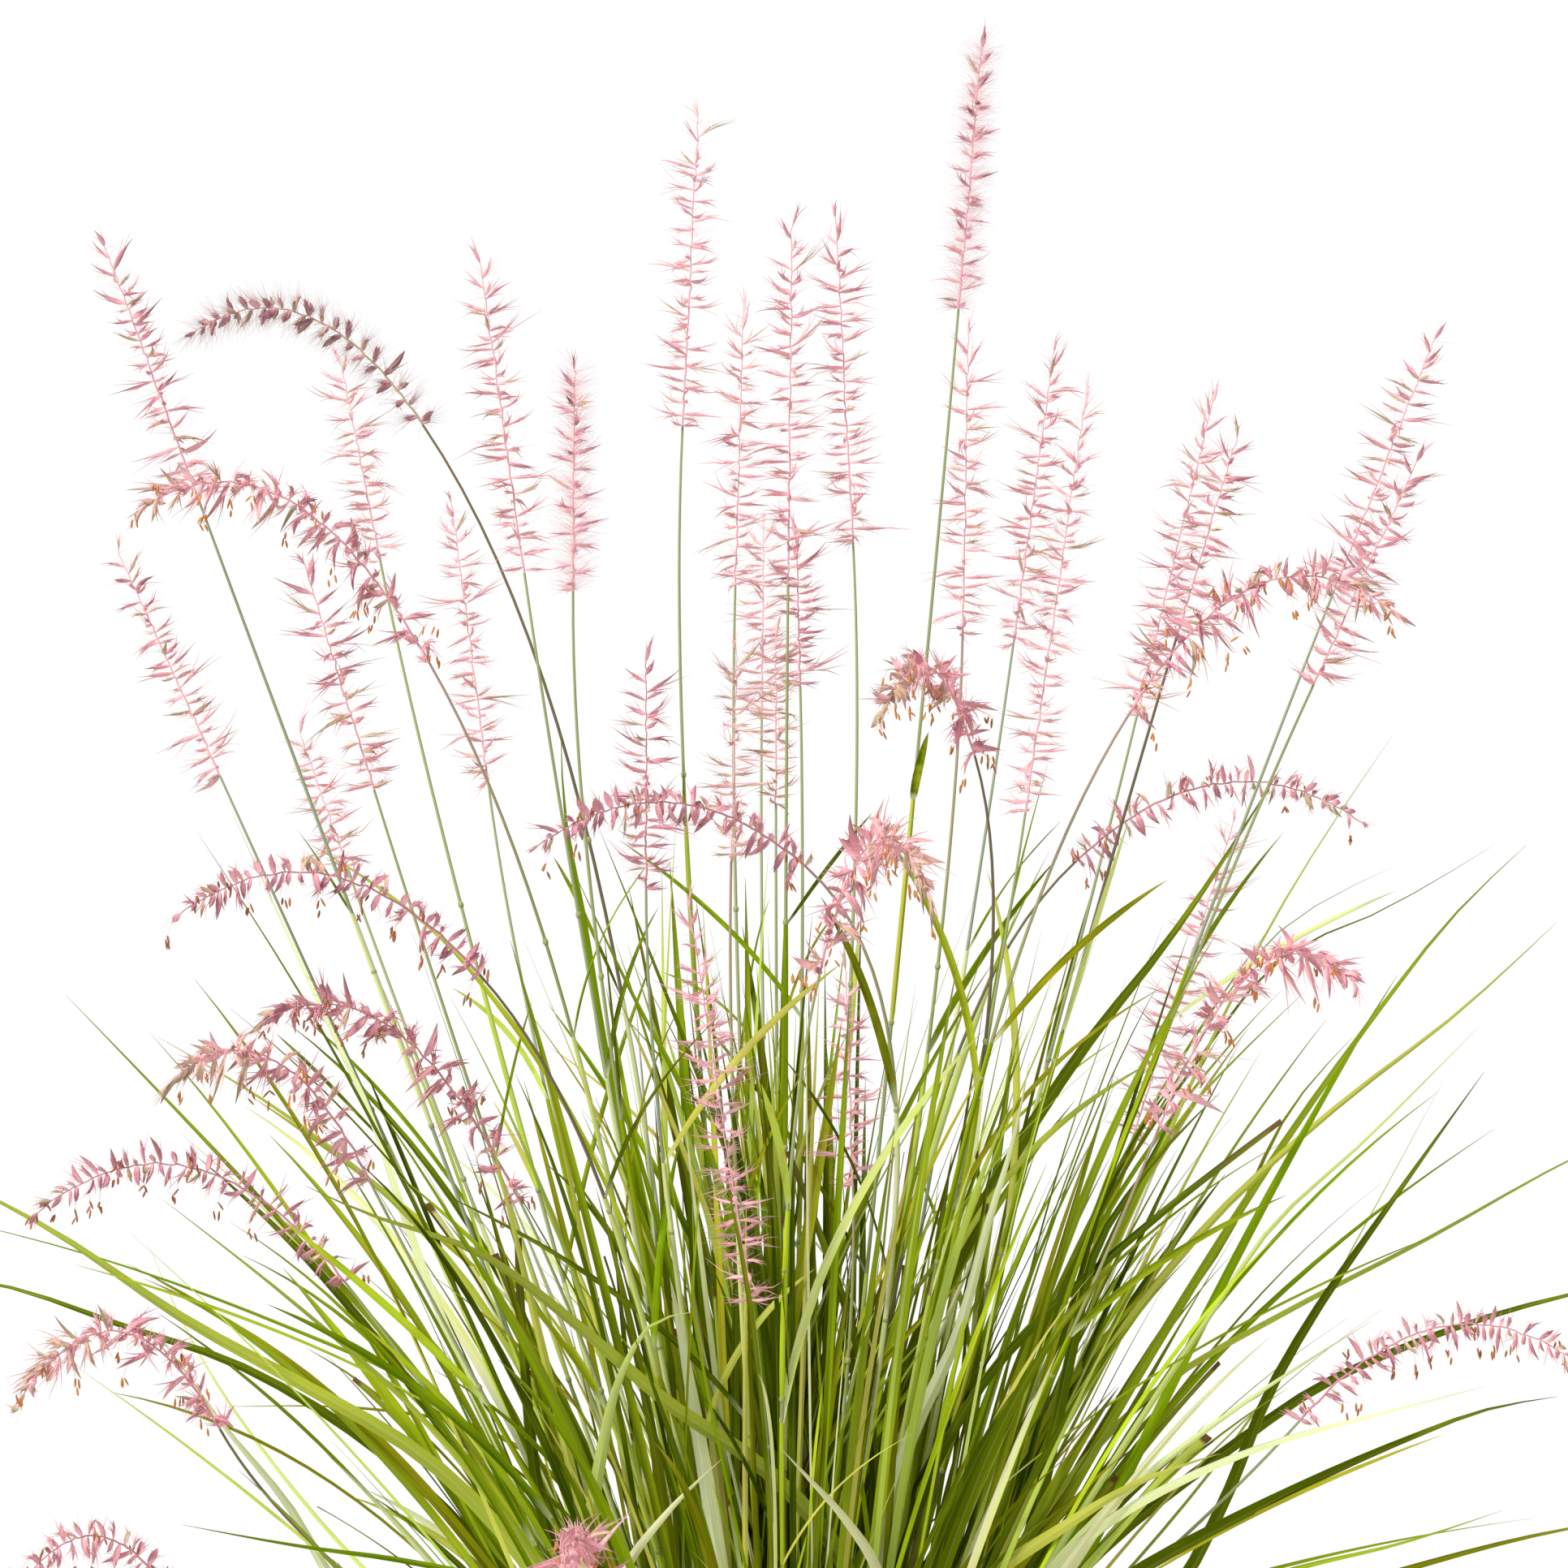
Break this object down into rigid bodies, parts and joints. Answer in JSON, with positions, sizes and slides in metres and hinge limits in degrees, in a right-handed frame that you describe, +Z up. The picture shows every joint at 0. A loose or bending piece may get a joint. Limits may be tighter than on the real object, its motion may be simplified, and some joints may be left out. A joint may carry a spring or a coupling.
{
  "type": "potted fountain grass clump",
  "caption": "A clump of ornamental grass in a plain round pot: arching narrow leaves and slender stems with soft rose-pink flower spikes.",
  "frame": {"origin": "centre of the pot's base, on the surface that it stands on", "axes": "+Z up along the pot's axis; the side of the clump that the picture shows faces -Y, and +X is to its right"},
  "size_m": [0.8771, 0.8012, 1.1665],
  "materials": {
    "pot": "plain unglazed clay, matte",
    "soil": "moist potting soil, granular and matte",
    "crown": "packed pale green and straw-coloured shoot bases",
    "flower_stem": "olive stems with rose-pink spikelets and fine bristles, soft and matte",
    "leaf": "mid-green grooved leaf blades with a satin sheen"
  },
  "bodies": {
    "root": {"pot": "pot", "soil": "soil", "crown": "crown", "flower_stem_01": "flower_stem", "flower_stem_02": "flower_stem", "flower_stem_03": "flower_stem", "flower_stem_04": "flower_stem", "flower_stem_05": "flower_stem", "flower_stem_06": "flower_stem", "flower_stem_07": "flower_stem", "flower_stem_08": "flower_stem", "flower_stem_09": "flower_stem", "flower_stem_10": "flower_stem", "flower_stem_11": "flower_stem", "flower_stem_12": "flower_stem", "flower_stem_13": "flower_stem", "flower_stem_14": "flower_stem", "flower_stem_15": "flower_stem", "flower_stem_16": "flower_stem", "flower_stem_17": "flower_stem", "flower_stem_18": "flower_stem", "flower_stem_19": "flower_stem", "flower_stem_20": "flower_stem", "flower_stem_21": "flower_stem", "flower_stem_22": "flower_stem", "flower_stem_23": "flower_stem", "flower_stem_24": "flower_stem", "flower_stem_25": "flower_stem", "flower_stem_26": "flower_stem", "flower_stem_27": "flower_stem", "flower_stem_28": "flower_stem", "flower_stem_29": "flower_stem", "flower_stem_30": "flower_stem", "flower_stem_31": "flower_stem", "flower_stem_32": "flower_stem", "flower_stem_33": "flower_stem", "flower_stem_34": "flower_stem", "flower_stem_35": "flower_stem", "flower_stem_36": "flower_stem", "flower_stem_37": "flower_stem", "flower_stem_38": "flower_stem", "flower_stem_39": "flower_stem", "flower_stem_40": "flower_stem", "flower_stem_41": "flower_stem", "flower_stem_42": "flower_stem", "flower_stem_43": "flower_stem", "flower_stem_44": "flower_stem", "leaf_tuft_01": "leaf", "leaf_tuft_02": "leaf", "leaf_tuft_03": "leaf", "leaf_tuft_04": "leaf", "leaf_tuft_05": "leaf", "leaf_tuft_06": "leaf", "leaf_tuft_07": "leaf", "leaf_tuft_08": "leaf", "leaf_tuft_09": "leaf", "leaf_tuft_10": "leaf", "leaf_tuft_11": "leaf", "leaf_tuft_12": "leaf", "leaf_tuft_13": "leaf"}
  },
  "joints": []
}
